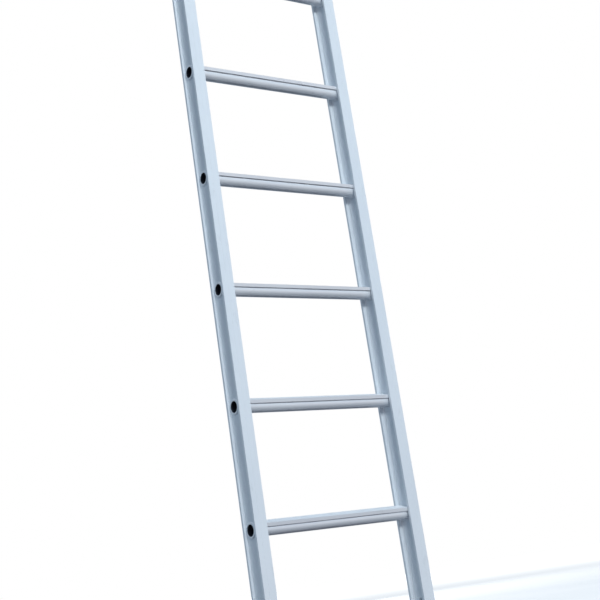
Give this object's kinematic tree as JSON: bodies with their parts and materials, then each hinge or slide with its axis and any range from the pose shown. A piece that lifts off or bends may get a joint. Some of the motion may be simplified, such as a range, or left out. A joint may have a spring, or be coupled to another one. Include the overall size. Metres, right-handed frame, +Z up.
{
  "type": "extension ladder",
  "caption": "Aluminium push-up extension ladder: lipped box-web stiles, swaged tube rungs with flat treads, folded stile guides, hinged rung locks and swivel rubber shoes.",
  "frame": {"origin": "on the ground, at the middle of the ladder's width and depth", "axes": "+Z up the stiles, +X along the rungs to the right as the climber sees it, -Y the climber's side"},
  "size_m": [0.499, 0.152, 4.388],
  "materials": {
    "stile_aluminium": "extruded mill finish, fine lines along the stile",
    "rung_aluminium": "extruded mill finish, fine lines along the rung",
    "guide_aluminium": "rolled sheet, satin",
    "cast_aluminium": "cast and tumbled, dull",
    "zinc_steel": "zinc-plated",
    "spring_steel": "drawn wire",
    "rivet_steel": "plated, satin",
    "liner_plastic": "moulded nylon",
    "cap_plastic": "moulded, fine grain",
    "pad_rubber": "moulded, dull",
    "bumper_rubber": "moulded, dull"
  },
  "bodies": {
    "base": {"base_left_stile": "stile_aluminium", "base_right_stile": "stile_aluminium", "base_rung_1": "rung_aluminium", "base_rung_2": "rung_aluminium", "base_rung_3": "rung_aluminium", "base_rung_4": "rung_aluminium", "base_rung_5": "rung_aluminium", "base_rung_6": "rung_aluminium", "base_rung_7": "rung_aluminium", "base_rung_8": "rung_aluminium", "base_rung_9": "rung_aluminium", "base_guide_left": "guide_aluminium", "base_guide_right": "guide_aluminium", "base_guide_liners": "liner_plastic", "base_guide_rivets": "rivet_steel", "shoe_bracket_left": "cast_aluminium", "shoe_bracket_right": "cast_aluminium", "shoe_bracket_rivets": "rivet_steel", "shoe_bolts": "zinc_steel", "shoe_nuts": "zinc_steel", "shoe_washers": "zinc_steel", "base_top_caps": "cap_plastic"},
    "fly": {"fly_left_stile": "stile_aluminium", "fly_right_stile": "stile_aluminium", "fly_rung_1": "rung_aluminium", "fly_rung_2": "rung_aluminium", "fly_rung_3": "rung_aluminium", "fly_rung_4": "rung_aluminium", "fly_rung_5": "rung_aluminium", "fly_rung_6": "rung_aluminium", "fly_rung_7": "rung_aluminium", "fly_rung_8": "rung_aluminium", "fly_rung_9": "rung_aluminium", "fly_guide_left": "guide_aluminium", "fly_guide_right": "guide_aluminium", "fly_guide_liners": "liner_plastic", "fly_guide_rivets": "rivet_steel", "lock_bracket_left": "cast_aluminium", "lock_bracket_right": "cast_aluminium", "lock_bracket_rivets": "rivet_steel", "lock_pins": "zinc_steel", "fly_bottom_caps": "cap_plastic", "wall_bumper_left": "bumper_rubber", "wall_bumper_right": "bumper_rubber"},
    "lock_left": {"rung_lock_left": "zinc_steel", "lock_spring_left": "spring_steel"},
    "lock_right": {"rung_lock_right": "zinc_steel", "lock_spring_right": "spring_steel"},
    "shoe_left": {"shoe_left": "cast_aluminium", "shoe_pad_left": "pad_rubber"},
    "shoe_right": {"shoe_right": "cast_aluminium", "shoe_pad_right": "pad_rubber"}
  },
  "joints": [
    {"name": "fly_slide", "type": "slide", "parent": "base", "child": "fly", "axis": [0, 0, 1], "range_m": [-1.68, 0]},
    {"name": "lock_left_swing", "type": "hinge", "parent": "fly", "child": "lock_left", "pos_m": [-0.1962, -0.0185, 2.048], "axis": [1, 0, 0], "range_deg": [0, 70], "stiffness_Nm_per_rad": 0.15, "springref_deg": -28.65},
    {"name": "lock_right_swing", "type": "hinge", "parent": "fly", "child": "lock_right", "pos_m": [0.1962, -0.0185, 2.048], "axis": [1, 0, 0], "range_deg": [0, 70], "stiffness_Nm_per_rad": 0.15, "springref_deg": -28.65},
    {"name": "shoe_left_swivel", "type": "hinge", "parent": "base", "child": "shoe_left", "pos_m": [-0.2235, 0.016, 0.032], "axis": [1, 0, 0], "range_deg": [-45, 45]},
    {"name": "shoe_right_swivel", "type": "hinge", "parent": "base", "child": "shoe_right", "pos_m": [0.2235, 0.016, 0.032], "axis": [1, 0, 0], "range_deg": [-45, 45]}
  ]
}
